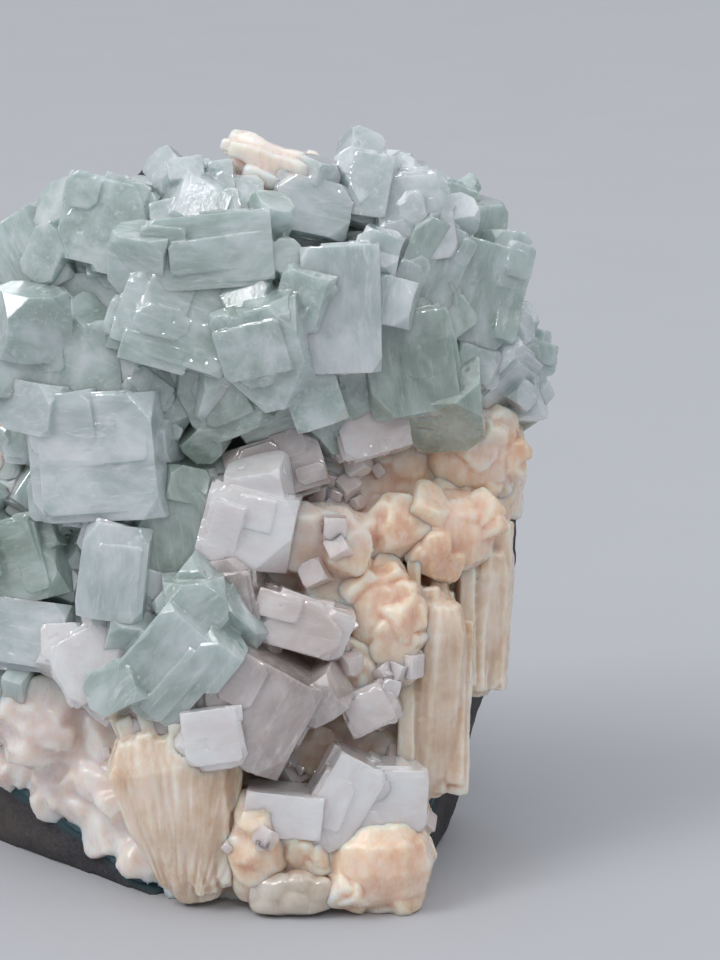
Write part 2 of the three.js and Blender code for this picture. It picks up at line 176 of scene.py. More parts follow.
def move_vertices(mesh, points):
    mesh.vertices.foreach_set("co", points.ravel())
    mesh.update()


def set_attribute(mesh, name, values):
    layer = mesh.attributes.new(name, "FLOAT", "POINT")
    layer.data.foreach_set("value", np.asarray(values, dtype=np.float32))


def new_piece(name, mesh, material):
    piece = bpy.data.objects.new(name, mesh)
    bpy.context.collection.objects.link(piece)
    mesh.materials.clear()
    mesh.materials.append(material)
    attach(piece, BODY)
    return piece


def welded_mesh(node, name):
    """A copy of a CAD node's mesh with its split corners joined up."""
    shape = bmesh.new()
    shape.from_mesh(nodes[node].data)
    bmesh.ops.remove_doubles(shape, verts=shape.verts, dist=0.002 * MM)
    mesh = bpy.data.meshes.new(name)
    shape.to_mesh(mesh)
    shape.free()
    return mesh


def remeshed(mesh, voxel, smoothing=0):
    """The mesh rebuilt in even faces of the given size."""
    holder = bpy.data.objects.new("holder", mesh)
    bpy.context.collection.objects.link(holder)
    remesh = holder.modifiers.new("remesh", "REMESH")
    remesh.mode = "VOXEL"
    remesh.voxel_size = voxel
    remesh.use_smooth_shade = True
    if smoothing:
        soften = holder.modifiers.new("soften", "SMOOTH")
        soften.factor = 0.5
        soften.iterations = smoothing
    bpy.context.view_layer.update()
    evaluated = holder.evaluated_get(bpy.context.evaluated_depsgraph_get())
    result = bpy.data.meshes.new_from_object(evaluated)
    bpy.data.objects.remove(holder)
    return result


def base_fade(points):
    """0 at the sawn base and 1 well above it."""
    return np.clip(points[:, 2] / BASE_FADE, 0, 1)


def push_out(mesh, amount):
    """Moves each vertex along its normal, but leaves the sawn base flat."""
    points = positions(mesh)
    moved = points + normals(mesh) * (amount * base_fade(points))[:, None]
    moved[:, 2] = np.maximum(moved[:, 2], 0)
    move_vertices(mesh, moved)


def split_long_edges(shape, longest):
    """Cuts faces up until no edge is longer than a length."""
    bmesh.ops.triangulate(shape, faces=shape.faces)
    for _ in range(8):
        long_edges = [e for e in shape.edges if e.calc_length() > longest]
        if not long_edges:
            break
        bmesh.ops.subdivide_edges(shape, edges=long_edges, cuts=1, use_grid_fill=False)
        bmesh.ops.triangulate(shape, faces=[f for f in shape.faces if len(f.verts) > 3])


# ---- Colours ----

# AMBER, SILK_SHADE and ROSE also serve as painted shade in the stilbite's creases.
PEACH = (0.93, 0.72, 0.56)
CREAM = (0.93, 0.85, 0.78)
AMBER = (0.78, 0.50, 0.34)
ROSE = (0.85, 0.71, 0.64)
WHITE = (0.90, 0.82, 0.78)
SILK = (0.81, 0.69, 0.57)
SILK_SHADE = (0.66, 0.48, 0.33)
PALE_GREEN = (0.46, 0.53, 0.49)
ROCK_DARK = (0.024, 0.023, 0.027)
ROCK = (0.050, 0.047, 0.053)
ROCK_SPECK = (0.12, 0.116, 0.122)
ROCK_RUST = (0.105, 0.082, 0.066)
ROCK_DUST = (0.16, 0.155, 0.155)
ROCK_FILLING = (0.30, 0.30, 0.28)
ROCK_RIM = (0.03, 0.075, 0.085)
CELADONITE_DARK = (0.02, 0.05, 0.06)
CELADONITE = (0.08, 0.16, 0.17)
PAPER = (0.475, 0.485, 0.51)
PAPER_PALE = (0.485, 0.495, 0.52)
SKY_LOW = (0.33, 0.343, 0.37, 1)
SKY_MIDDLE = (0.45, 0.465, 0.495, 1)
SKY_HIGH = (0.98, 1.0, 1.04, 1)

# The colours of a crystal's clear parts, milky veils and deep parts, its roughness, and the light it lets in.
CRYSTAL_LOOKS = {
    "mint": ((0.67, 0.77, 0.75), (0.89, 0.92, 0.94), (0.46, 0.58, 0.52), 0.05, 0.35),
    "icy_and_painted_light": ((0.74, 0.81, 0.82), (0.92, 0.95, 0.98), (0.54, 0.64, 0.62), 0.05, 0.3),
    "dark_green_and_painted_shade": ((0.54, 0.65, 0.59), (0.74, 0.82, 0.81), (0.36, 0.47, 0.40), 0.05, 0.4),
    "blush": ((0.90, 0.82, 0.80), (0.96, 0.93, 0.94), (0.80, 0.69, 0.65), 0.05, 0.3),
    "frosty": ((0.96, 0.91, 0.91), (0.99, 0.97, 0.98), (0.90, 0.82, 0.81), 0.05, 0.2),
    "smoky": ((0.70, 0.62, 0.60), (0.86, 0.82, 0.82), (0.50, 0.42, 0.40), 0.05, 0.35),
    "calcite": ((0.88, 0.78, 0.66), (0.93, 0.88, 0.80), (0.74, 0.60, 0.46), 0.1, 0.3),
}
# Which look an apophyllite crystal has, by the first of these words in its name. Others are mint or blush.
# Partly painted shade: crystals named for a hollow, recess, underside or shade get the darker green look,
# while the smoky ones are darker of their own. Partly painted light: crystals named for a peak, the roof or a
# bright spot get the paler icy look, while the pale and clear ones are paler of their own.
GREEN_WORDS = {
    "dark_green_and_painted_shade": ("hollow", "recess", "under", "shade", "smoky", "lower_left", "lower_middle"),
    "icy_and_painted_light": ("bright", "pale", "peak", "clear", "tall", "left_block", "roof"),
    "frosty": ("rose",),
}
# Partly painted light: colourless crystals named bright or front get the whiter frosty look.
BLUSH_WORDS = {
    "smoky": ("grey", "brown"),
    "frosty": ("bright", "front", "leaning", "striated", "centre"),
}


# ---- Material helpers ----

class Shader:
    """A material with a Principled shader and short ways to add texture nodes to it."""

    def __init__(self, name):
        self.material = bpy.data.materials.new(name)
        self.material.use_nodes = True
        self.tree = self.material.node_tree
        self.surface = self.tree.nodes["Principled BSDF"]
        self.coords = self.tree.nodes.new("ShaderNodeTexCoord").outputs["Object"]

    def set(self, **sockets):
        """Sets or links the surface's sockets by name, with _ for each space."""
        for name, value in sockets.items():
            socket = self.surface.inputs[name.replace("_", " ")]
            if isinstance(value, bpy.types.NodeSocket):
                self.tree.links.new(value, socket)
            else:
                socket.default_value = value

    def stretched(self, scale):
        """Object coordinates scaled along each axis: below 1 draws a texture out."""
        mapping = self.tree.nodes.new("ShaderNodeMapping")
        mapping.inputs["Scale"].default_value = scale
        self.tree.links.new(self.coords, mapping.inputs["Vector"])
        return mapping.outputs["Vector"]

    def noise(self, size, detail=4.0, rough=0.55, stretch=(1, 1, 1), warp=0.0):
        """Noise with features of the given size in millimetres."""
        node = self.tree.nodes.new("ShaderNodeTexNoise")
        node.inputs["Scale"].default_value = 1 / (size * MM)
        node.inputs["Detail"].default_value = detail
        node.inputs["Roughness"].default_value = rough
        node.inputs["Distortion"].default_value = warp
        self.tree.links.new(self.stretched(stretch), node.inputs["Vector"])
        return node.outputs["Fac"]

    def cells(self, size, metric="EUCLIDEAN", stretch=(1, 1, 1)):
        """Distance to the middles of cells of the given size in millimetres."""
        node = self.tree.nodes.new("ShaderNodeTexVoronoi")
        node.distance = metric
        node.inputs["Scale"].default_value = 1 / (size * MM)
        self.tree.links.new(self.stretched(stretch), node.inputs["Vector"])
        return node.outputs["Distance"]

    def ramp(self, value, *stops):
        """Stops are (place, number or colour)."""
        node = self.tree.nodes.new("ShaderNodeValToRGB")
        elements = node.color_ramp.elements
        while len(elements) < len(stops):
            elements.new(1.0)
        for element, (place, colour) in zip(elements, stops):
            element.position = place
            element.color = (*colour, 1) if isinstance(colour, tuple) else (colour, colour, colour, 1)
        self.tree.links.new(value, node.inputs["Fac"])
        return node.outputs["Color"]

    def mix(self, share, first, second):
        """The second colour over the first, by the given share."""
        node = self.tree.nodes.new("ShaderNodeMix")
        node.data_type = "RGBA"
        for socket, value in zip((node.inputs[0], node.inputs[6], node.inputs[7]), (share, first, second)):
            if isinstance(value, bpy.types.NodeSocket):
                self.tree.links.new(value, socket)
            elif isinstance(value, tuple):
                socket.default_value = (*value, 1)
            else:
                socket.default_value = value
        return node.outputs[2]

    def larger(self, first, second):
        node = self.tree.nodes.new("ShaderNodeMath")
        node.operation = "MAXIMUM"
        self.tree.links.new(first, node.inputs[0])
        self.tree.links.new(second, node.inputs[1])
        return node.outputs[0]

    def attribute(self, name):
        node = self.tree.nodes.new("ShaderNodeAttribute")
        node.attribute_name = name
        return node.outputs["Fac"]

    def painted_crease_shade(self):
        """A mask for painted shade: bright in creases and dark on crests, from the mesh's own pointiness."""
        pointiness = self.tree.nodes.new("ShaderNodeNewGeometry").outputs["Pointiness"]
        return self.ramp(pointiness, (0.44, 1.0), (0.52, 0.0))

    def bump(self, height, depth, strength=1.0):
        """Depth is in millimetres."""
        node = self.tree.nodes.new("ShaderNodeBump")
        node.inputs["Strength"].default_value = strength
        node.inputs["Distance"].default_value = depth * MM
        self.tree.links.new(height, node.inputs["Height"])
        previous = self.surface.inputs["Normal"].links
        if previous:
            self.tree.links.new(previous[0].from_socket, node.inputs["Normal"])
        self.tree.links.new(node.outputs["Normal"], self.surface.inputs["Normal"])


def crystal_material(name, clear, veil, deep, roughness, transmission):
    """Clear and milky parts inside, lines along the crystal and square growth steps."""
    shader = Shader(name)
    cloud = shader.noise(4.5, detail=5, rough=0.6, stretch=(1, 1, 0.6), warp=0.4)
    body = shader.ramp(cloud, (0.28, deep), (0.55, clear), (0.85, veil))
    streaks = shader.noise(0.9, detail=6, rough=0.7, stretch=(1, 1, 0.2), warp=0.6)
    wisps = shader.ramp(streaks, (0.52, 0.0), (0.68, 0.55))
    milk = shader.larger(shader.ramp(cloud, (0.35, 0.0), (0.75, 0.7)), wisps)
    shader.set(
        Base_Color=shader.mix(wisps, body, veil),
        Roughness=roughness,
        IOR=1.75,
        Transmission_Weight=shader.ramp(milk, (0.1, transmission), (0.9, 0.4 * transmission)),
        Subsurface_Weight=1.0,
        Subsurface_Radius=(0.85, 1.0, 0.97),
        Subsurface_Scale=1.6 * MM,
        Specular_IOR_Level=0.9,
        Coat_Weight=0.8,
        Coat_Roughness=0.02,
    )
    shader.bump(shader.noise(0.45, detail=3, stretch=(1, 1, 0.03)), 0.10, 0.35)
    shader.bump(shader.cells(2.6, metric="CHEBYCHEV", stretch=(1, 1, 0.5)), 0.12, 0.3)
    shader.bump(shader.noise(0.9, detail=4), 0.05, 0.35)
    return shader.material


def stilbite_shader(name, stretch, tint, pale, deep):
    """Waxy, see-through stilbite with paler crests, creases darkened as painted shade, pearly fibres, and its
    colour.
    """
    shader = Shader(name)
    patches = shader.noise(6, detail=4, rough=0.6)
    colour = shader.ramp(patches, (0.32, deep), (0.5, tint), (0.7, pale))
    fibres = shader.noise(0.9, detail=5, rough=0.6, stretch=stretch)
    colour = shader.mix(shader.ramp(fibres, (0.5, 0.0), (0.72, 0.6)), colour, pale)
    # Painted shade: the deep colour is laid into the creases.
    colour = shader.mix(shader.painted_crease_shade(), colour, deep)
    shader.set(
        Base_Color=colour,
        Roughness=shader.ramp(fibres, (0.3, 0.2), (0.7, 0.42)),
        Subsurface_Weight=1.0,
        Subsurface_Radius=(1.0, 0.62, 0.4),
        Subsurface_Scale=3.2 * MM,
        Specular_IOR_Level=0.6,
        Coat_Weight=0.3,
        Coat_Roughness=0.12,
    )
    shader.bump(fibres, 0.13, 0.5)
    shader.bump(shader.noise(0.5, detail=4), 0.05, 0.4)
    return shader, colour


def crust_material():
    """Peach in the warm middle and bleached elsewhere, and grey-green where the green crystals sit."""
    shader, colour = stilbite_shader("stilbite_crust", (1, 1, 0.5), PEACH, CREAM, AMBER)
    bleached = shader.ramp(shader.noise(4, detail=5, rough=0.65), (0.35, ROSE), (0.6, WHITE))
    colour = shader.mix(shader.attribute("warmth"), bleached, colour)
    shader.set(Base_Color=shader.mix(shader.attribute("greenness"), colour, PALE_GREEN))
    return shader.material


def basalt_material():
    """Dark fine-grained rock with paler specks, small pits, rusty weathering, dust, pale gas holes and a
    blue-green tinge beside the lining."""
    shader = Shader("basalt")
    grain = shader.noise(0.5, detail=8, rough=0.75)
    colour = shader.ramp(grain, (0.3, ROCK_DARK), (0.55, ROCK), (0.75, ROCK_SPECK))
    stain = shader.ramp(shader.noise(13, detail=7, rough=0.65), (0.5, 0.0), (0.72, 0.75))
    dust = shader.ramp(shader.noise(5, detail=8, rough=0.7), (0.5, 0.0), (0.8, 0.3))
    holes = shader.ramp(shader.attribute("hole"), (0.2, 0.0), (0.8, 0.7))
    colour = shader.mix(stain, colour, ROCK_RUST)
    colour = shader.mix(dust, colour, ROCK_DUST)
    colour = shader.mix(holes, colour, ROCK_FILLING)
    colour = shader.mix(shader.attribute("rim"), colour, ROCK_RIM)
    pits = shader.ramp(shader.cells(1.6), (0.05, 0.0), (0.16, 1.0))
    shader.set(Base_Color=colour, Roughness=0.72, Specular_IOR_Level=0.4)
    shader.bump(grain, 0.25, 0.7)
    shader.bump(pits, 0.2, 0.6)
    return shader.material


def lining_material():
    """Earthy blue-green celadonite."""
    shader = Shader("celadonite")
    grain = shader.noise(0.6, detail=6, rough=0.7)
    shader.set(
        Base_Color=shader.ramp(grain, (0.35, CELADONITE_DARK), (0.7, CELADONITE)),
        Roughness=0.65,
    )
    shader.bump(grain, 0.2, 0.6)
    return shader.material


def floor_material():
    """Plain pale grey paper, very faintly mottled."""
    shader = Shader("floor")
    mottle = shader.noise(60, detail=3)
    shader.set(
        Base_Color=shader.ramp(mottle, (0.3, PAPER), (0.7, PAPER_PALE)),
        Roughness=0.6,
        Specular_IOR_Level=0.2,
    )
    return shader.material


# ---- Blocks ----

def scattered(mesh, random, count, wanted):
    """Random places on a mesh, with the way each faces, spread evenly where wanted(places, facing) is 1."""
    mesh.calc_loop_triangles()
    corners = positions(mesh)[[list(triangle.vertices) for triangle in mesh.loop_triangles]]
    across = np.cross(corners[:, 1] - corners[:, 0], corners[:, 2] - corners[:, 0])
    area = np.linalg.norm(across, axis=1)
    picks = random.choice(len(corners), size=20 * count, p=area / area.sum())
    shares = random.dirichlet((1, 1, 1), len(picks))
    places = (corners[picks] * shares[:, :, None]).sum(axis=1)
    facing = across[picks] / area[picks, None]
    chance = wanted(places, facing)
    kept = random.choice(len(picks), size=count, replace=False, p=chance / chance.sum())
    return places[kept], facing[kept]


def seated_block(random, place, facing, half, cut, sunk, tilt):
    """Corner points of a block whose long way points roughly out of the surface."""
    outward = Vector(facing + random.normal(0, tilt, 3)).normalized()
    spin = Matrix.Rotation(random.uniform(0, math.pi), 3, "Z")
    turn = outward.to_track_quat("Z", "Y").to_matrix() @ spin
    seat = np.array(place) + np.array(outward) * half[2] * (1 - 2 * sunk)
    return seat + blocky_corners(random, half, cut) @ np.array(turn).T


def hull_of(points):
    """The convex hull of some points as a bmesh, with faces that lie in one plane joined."""
    shape = bmesh.new()
    for point in points:
        shape.verts.new(point)
    made = bmesh.ops.convex_hull(shape, input=shape.verts)
    loose = [v for v in made["geom_interior"] if isinstance(v, bmesh.types.BMVert)]
    bmesh.ops.delete(shape, geom=loose, context="VERTS")
    bmesh.ops.remove_doubles(shape, verts=shape.verts, dist=0.15 * MM)
    bmesh.ops.dissolve_limit(
        shape, angle_limit=math.radians(7), verts=shape.verts, edges=shape.edges, delimit=set()
    )
    return shape


def add_to(whole, part):
    """Moves one bmesh's faces into another."""
    mesh = bpy.data.meshes.new("part")
    part.to_mesh(mesh)
    part.free()
    whole.from_mesh(mesh)
    bpy.data.meshes.remove(mesh)


def joined_with(mesh, parts):
    """Adds some bmeshes to a mesh."""
    whole = bmesh.new()
    whole.from_mesh(mesh)
    for part in parts:
        add_to(whole, part)
    whole.to_mesh(mesh)
    whole.free()
    return mesh


def bevel_edges(shape, width):
    """Wears the edges of a bmesh off by one narrow face each."""
    bmesh.ops.bevel(
        shape, geom=shape.edges, offset=width, segments=1, profile=0.5, affect="EDGES", clamp_overlap=True
    )


# ---- Crystals ----

def crystal_turn(shape):
    """The crystal's own axes: square to its largest face and to the next one that is square to that, with
    the longest way up as Z."""
    faces = sorted(shape.faces, key=lambda f: -f.calc_area())
    first = faces[0].normal.normalized()
    across = [f.normal for f in faces if abs(f.normal.dot(first)) < 0.25]
    second = across[0] if across else first.orthogonal()
    second = (second - first * second.dot(first)).normalized()
    third = first.cross(second)
    axes = [first, second, third]
    reach = [np.ptp([v.co.dot(axis) for v in shape.verts]) for axis in axes]
    order = sorted(range(3), key=lambda k: reach[k])
    x, z = axes[order[0]], axes[order[2]]
    y = z.cross(x)
    return Matrix((x, y, z)).transposed()


def worn(mesh, seed):
    """Makes facets slightly uneven and leaves small chips and pits in them."""
    points = positions(mesh)
    uneven = 0.015 * value_noise(points, 3.2 * MM, seed)
    chips = value_noise(points, 0.9 * MM, seed + 5) + 0.7 * value_noise(points, 2.6 * MM, seed + 9)
    depth = uneven - 0.3 * np.clip(chips - 0.85, 0, 1)
    move_vertices(mesh, points + normals(mesh) * (depth * MM)[:, None])


def blocky_corners(random, half, cut):
    """Corner points of a block with its eight corners cut off unevenly."""
    corners = []
    for sx in (-1, 1):
        for sy in (-1, 1):
            for sz in (-1, 1):
                sign = np.array([sx, sy, sz])
                share = cut * random.uniform(0.4, 1.0) * half.min()
                for axis in range(3):
                    corner = sign * half
                    corner[axis] -= sign[axis] * share
                    corners.append(corner)
    return np.array(corners)


def leaning(random):
    """A turn by a few degrees about any axis."""
    return np.array(Matrix.Rotation(random.normal(0, 0.12), 3, Vector(random.normal(0, 1, 3))))


def growth_blocks(random, half):
    """Parallel blocks that share the crystal's space: slabs that stand a little proud of its faces as
    growth steps, and smaller crystals set into its corners. Gives the corner points of each."""
    blocks = []
    for axis in range(3):
        for side in (-1, 1):
            for _ in range(random.integers(0, 3)):
                size = half * random.uniform(0.3, 0.95, 3)
                middle = (half - size) * random.uniform(-0.85, 0.85, 3)
                proud = random.uniform(0.1, 0.5) * MM
                size[axis] = 0.3 * half[axis]
                middle[axis] = side * (0.7 * half[axis] + proud)
                lean = leaning(random)
                cut = random.uniform(0.3, 1.3)
                blocks.append(middle + blocky_corners(random, size, cut) @ lean)
    for _ in range(random.integers(3, 6)):
        size = half * random.uniform(0.25, 0.5) * random.uniform(0.85, 1.15, 3)
        sign = random.choice((-1.0, 1.0), 3) * random.uniform(0.55, 1.0, 3)
        middle = sign * (half - 0.75 * size)
        lean = leaning(random)
        blocks.append(middle + blocky_corners(random, size, 0.7) @ lean)
    return blocks


def flank_crystals(random, shape, turn, centre, half, fewest, most):
    """Smaller crystals at all angles, set around the crystal's sides but clear of its front."""
    blocks = []
    for _ in range(random.integers(fewest, most + 1)):
        angle = random.uniform(0, 2 * math.pi)
        sideways = Vector((math.cos(angle), random.uniform(-0.35, 0.5), math.sin(angle)))
        outward = turn.inverted().to_3x3() @ sideways
        reach = max(v.co.dot(outward) for v in shape.verts) - centre.dot(outward)
        size = half.min() * random.uniform(0.35, 0.7) * random.uniform(0.8, 1.2, 3)
        lean = Matrix.Rotation(random.uniform(0, math.pi), 3, Vector(random.normal(0, 1, 3)))
        middle = centre + outward * reach * random.uniform(0.75, 0.95)
        blocks.append(np.array(middle) + blocky_corners(random, size, 0.8) @ np.array(lean))
    return blocks


def grown_together(blocks, voxel):
    """Blocks joined in one skin, whose points are pulled back onto the blocks' own flat faces."""
    faces = BVHTree.FromPolygons([v.co for v in blocks.vertices], [p.vertices for p in blocks.polygons])
    mesh = remeshed(blocks, voxel)
    move_vertices(mesh, np.array([faces.find_nearest(vertex.co)[0] for vertex in mesh.vertices]))
    return mesh


def crystal_mesh(name, node_mesh, seed, flanks):
    """One crystal from the corners of its CAD piece, grown together with its step slabs and the smaller
    crystals on it. Gives the mesh, in the crystal's own axes, and its place."""
    random = np.random.default_rng(seed)
    corners = positions(node_mesh)
    middle = Vector((corners.min(axis=0) + corners.max(axis=0)) / 2)
    shape = hull_of([Vector(c) - middle for c in corners])
    turn = crystal_turn(shape).to_4x4()
    into_own_axes = turn.inverted() @ Matrix.Scale(CRYSTAL_SWELL, 4)
    bmesh.ops.transform(shape, matrix=into_own_axes, verts=shape.verts)
    local = np.array([v.co[:] for v in shape.verts])
    centre = (local.max(axis=0) + local.min(axis=0)) / 2
    half = (local.max(axis=0) - local.min(axis=0)) / 2
    flank = flank_crystals(random, shape, turn, Vector(centre), half, *flanks)
    growth = [centre + block for block in growth_blocks(random, half)]
    for block in growth + flank:
        add_to(shape, hull_of(block))
    blocks = bpy.data.meshes.new("blocks")
    shape.to_mesh(blocks)
    shape.free()
    mesh = grown_together(blocks, CRYSTAL_VOXEL)
    mesh.name = name
    worn(mesh, seed)
    mesh.set_sharp_from_angle(angle=CRYSTAL_EDGE)
    return mesh, Matrix.Translation(middle) @ turn


def build_crystals(prefix, looks, words_by_look, default, flanks):
    """Every crystal of one kind, each with the look that its name asks for."""
    for seed, node in enumerate(sorted(n for n in nodes if n.startswith(prefix))):
        mesh, place = crystal_mesh(node + "_look", nodes[node].data, 100 + seed, flanks)
        matching = (look for look, words in words_by_look.items() if any(word in node for word in words))
        piece = new_piece(node + "_look", mesh, looks[next(matching, default)])
        piece.matrix_world = place @ piece.matrix_world
        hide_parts(node)


# ---- Where the crust is green or warm ----

def large_pieces():
    """The kind and the middle of each large piece that grows on the crust."""
    for name in nodes:
        kind = name.split("_")[0]
        if kind in ("green", "blush", "stilbite") and name != "stilbite_crust":
            yield kind, np.mean(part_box(name), axis=0)


def near_blush(points):
    """True where the nearest large piece is a colourless crystal."""
    kinds, middles = zip(*large_pieces())
    gaps = np.linalg.norm(points[:, None, :] - np.array(middles)[None], axis=2)
    return np.array(kinds)[gaps.argmin(axis=1)] == "blush"


def greenness(points):
    """1 where the nearest large pieces are green crystals, 0 elsewhere, with a soft border."""
    total = np.zeros((len(points), 2))
    for kind, middle in large_pieces():
        weight = np.exp(-(((points - middle) ** 2).sum(axis=1)) / GREEN_REACH**2)
        total[:, 0 if kind == "green" else 1] += weight
    share = total[:, 0] / (total.sum(axis=1) + 0.02)
    height = np.clip((points[:, 2] - GREEN_FOOT) / GREEN_FADE, 0, 1)
    return np.clip((share - 0.4) / 0.3, 0, 1) * height


def warmth(points):
    """1 on and around the peach stilbite pieces and 0 far from them, as seen from the front."""
    warm = ("right_ball", "middle_pillar", "foot_lobe", "foot_ball")
    middles = [np.mean(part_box("stilbite_" + name), axis=0) for name in warm]
    gaps = [np.linalg.norm((points - middle)[:, (0, 2)], axis=1) for middle in middles]
    return np.clip(1.7 - np.min(gaps, axis=0) / WARM_REACH, 0, 1)


# ---- Small crystals in the gaps ----

def build_druse(crust, name, material, wanted, amount, seed):
    """Joins many small crystals, seated on the crust and pointing out of it, into one piece. Where they may
    sit is given by wanted(places, facing)."""
    random = np.random.default_rng(seed)
    count, sizes = amount
    joined = bmesh.new()
    for place, facing in zip(*scattered(crust.data, random, count, wanted)):
        size = random.uniform(*sizes) * MM
        half = size / 2 * np.array([1.0, random.uniform(0.8, 1.0), random.uniform(0.9, 1.5)])
        cut = random.uniform(0.2, 0.8)
        one = hull_of(seated_block(random, place, facing, half, cut, random.uniform(0.2, 0.5), 0.45))
        bevel_edges(one, 0.08 * MM)
        add_to(joined, one)
    druse = bpy.data.meshes.new(name)
    joined.to_mesh(druse)
    joined.free()
    points = positions(druse)
    points[:, 2] = np.maximum(points[:, 2], 0.02 * MM)
    move_vertices(druse, points)
    druse.shade_flat()
    new_piece(name, druse, material)


def green_spots(points, facing):
    """Where small green crystals sit: on green crust that faces forwards."""
    return greenness(points) * (facing[:, 1] < -0.3)


def pale_spots(points, facing):
    """Where small pale crystals sit: mostly beside the colourless ones, and clear of the right edge."""
    front = (facing[:, 1] < -0.5) & (points[:, 0] < 0.7 * high_corner.x)
    return front * (near_blush(points) + 0.02)


# ---- Rock and stilbite ----

def build_basalt():
    """Broken rock: shallow scoops, ridges and gas holes that are weaker beside the lining, and a rough grain.
    """
    mesh = remeshed(welded_mesh("basalt_matrix", "basalt_look"), BASALT_VOXEL)
    points = positions(mesh)
    lining = BVHTree.FromPolygons(
        [v.co for v in nodes["celadonite_lining"].data.vertices],
        [p.vertices for p in nodes["celadonite_lining"].data.polygons],
    )
    gaps = np.array([lining.find_nearest(Vector(p), LINING_REACH)[3] or LINING_REACH for p in points])
    scoops = 1.5 * rough_noise(points, 19 * MM, 1, octaves=2) + 1.6 * domes(points, 15 * MM, 4) - 0.8
    ridges = 0.9 * (0.5 - np.abs(value_noise(points, 8 * MM, 6)))
    grain = 0.4 * rough_noise(points, 3 * MM, 2, octaves=4, gain=0.6)
    round_spots = 6 * domes(points, 5 * MM, 5) - 5.3 + 1.3 * value_noise(points, 7 * MM, 9)
    holes = 1.1 * np.clip(round_spots, 0, 1) * (value_noise(points, 16 * MM, 7) > 0)
    broad = (scoops + ridges - holes) * np.clip(gaps / LINING_REACH, 0.02, 1)
    push_out(mesh, (broad + 0.9 * grain) * MM)
    set_attribute(mesh, "hole", holes)
    points = positions(mesh)
    ragged = 1.4 + 0.9 * rough_noise(points, 2.5 * MM, 3)
    set_attribute(mesh, "rim", np.clip(ragged - gaps / MM, 0, 1))
    piece = new_piece("basalt_look", mesh, basalt_material())
    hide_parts("basalt_matrix")


def build_lining():
    """The thin skin, with its edges roughened."""
    shape = bmesh.new()
    shape.from_mesh(welded_mesh("celadonite_lining", "lining_source"))
    split_long_edges(shape, LINING_EDGE)
    mesh = bpy.data.meshes.new("lining_look")
    shape.to_mesh(mesh)
    shape.free()
    push_out(mesh, 0.3 * MM * rough_noise(positions(mesh), 2 * MM, 8))
    mesh.validate()
    mesh.shade_smooth()
    piece = new_piece("lining_look", mesh, lining_material())
    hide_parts("celadonite_lining")


def with_rounded_blocks(mesh, seed, amount, sunk, wanted):
    """Adds stubby stilbite crystals to a body, sunk in it by the given share."""
    random = np.random.default_rng(seed)
    count, sizes = amount
    blocks = []
    for place, facing in zip(*scattered(mesh, random, count, wanted)):
        half = random.uniform(*sizes) * MM / 2 * random.uniform(0.75, 1.15, 3)
        blocks.append(hull_of(seated_block(random, place, facing, half, 0.9, sunk, 0.3)))
    return joined_with(mesh, blocks)


def bare_front(places, facing):
    """Where the crust has blocks: on its front above the base, and few where it is green."""
    return (facing[:, 1] < -0.2) * (places[:, 2] > 2 * MM) * (1.05 - greenness(places))


def bent(points, amount, size, seed):
    """Points moved about by smooth noise, so that a texture read there is less regular."""
    return points + amount * np.stack([value_noise(points, size, seed + k) for k in range(3)], axis=1)


def build_crust():
    """The crust with its blocks, softened into lumps."""
    source = welded_mesh("stilbite_crust", "crust_look")
    source = with_rounded_blocks(source, 45, CRUST_BLOCKS, 0.8, bare_front)
    mesh = remeshed(source, CRUST_VOXEL, smoothing=3)
    points = positions(mesh)
    lumps = 0.5 * domes(bent(points, 1.5 * MM, 6 * MM, 40), 5.0 * MM, 11) - 0.3
    push_out(mesh, (lumps + 0.12 * rough_noise(points, 1.2 * MM, 29)) * MM)
    points = positions(mesh)
    set_attribute(mesh, "greenness", greenness(points))
    set_attribute(mesh, "warmth", warmth(points))
    piece = new_piece("crust_look", mesh, crust_material())
    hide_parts("stilbite_crust")
    return piece


def everywhere(places, facing):
    """Blocks all over a body, whichever way it faces."""
    return np.ones(len(places))


def fan_relief(points):
    """Fibres that spread from below the foot of the fan."""
    low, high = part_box("stilbite_fan")
    foot_x = (low[0] + high[0]) / 2 + 1.5 * MM
    foot_z = low[2] - 6 * MM
    angle = np.arctan2(points[:, 0] - foot_x, points[:, 2] - foot_z)
    spread = np.stack([angle * 25 * MM, points[:, 1] * 0.6, points[:, 2] * 0.12], axis=1)
    broad = 0.3 * value_noise(spread, 2.4 * MM, 51)
    return broad + 0.12 * value_noise(spread, 0.7 * MM, 52) + 0.06 * value_noise(spread, 0.35 * MM, 53)


def pillar_relief(points):
    """Broad and fine ribs that run up a pillar."""
    fine = value_noise(points, (0.8 * MM, 0.8 * MM, 9 * MM), 61)
    broad = value_noise(points, (2.6 * MM, 2.6 * MM, 12 * MM), 62)
    return 0.12 * fine + 0.3 * broad + 0.12 * rough_noise(points, 2 * MM, 63)


def lump_relief(points):
    """Soft swellings and a fine unevenness."""
    swellings = domes(bent(points, 0.8 * MM, 3 * MM, 73), 4.5 * MM, 71)
    return 0.45 * swellings + 0.12 * rough_noise(points, 1.3 * MM, 72)


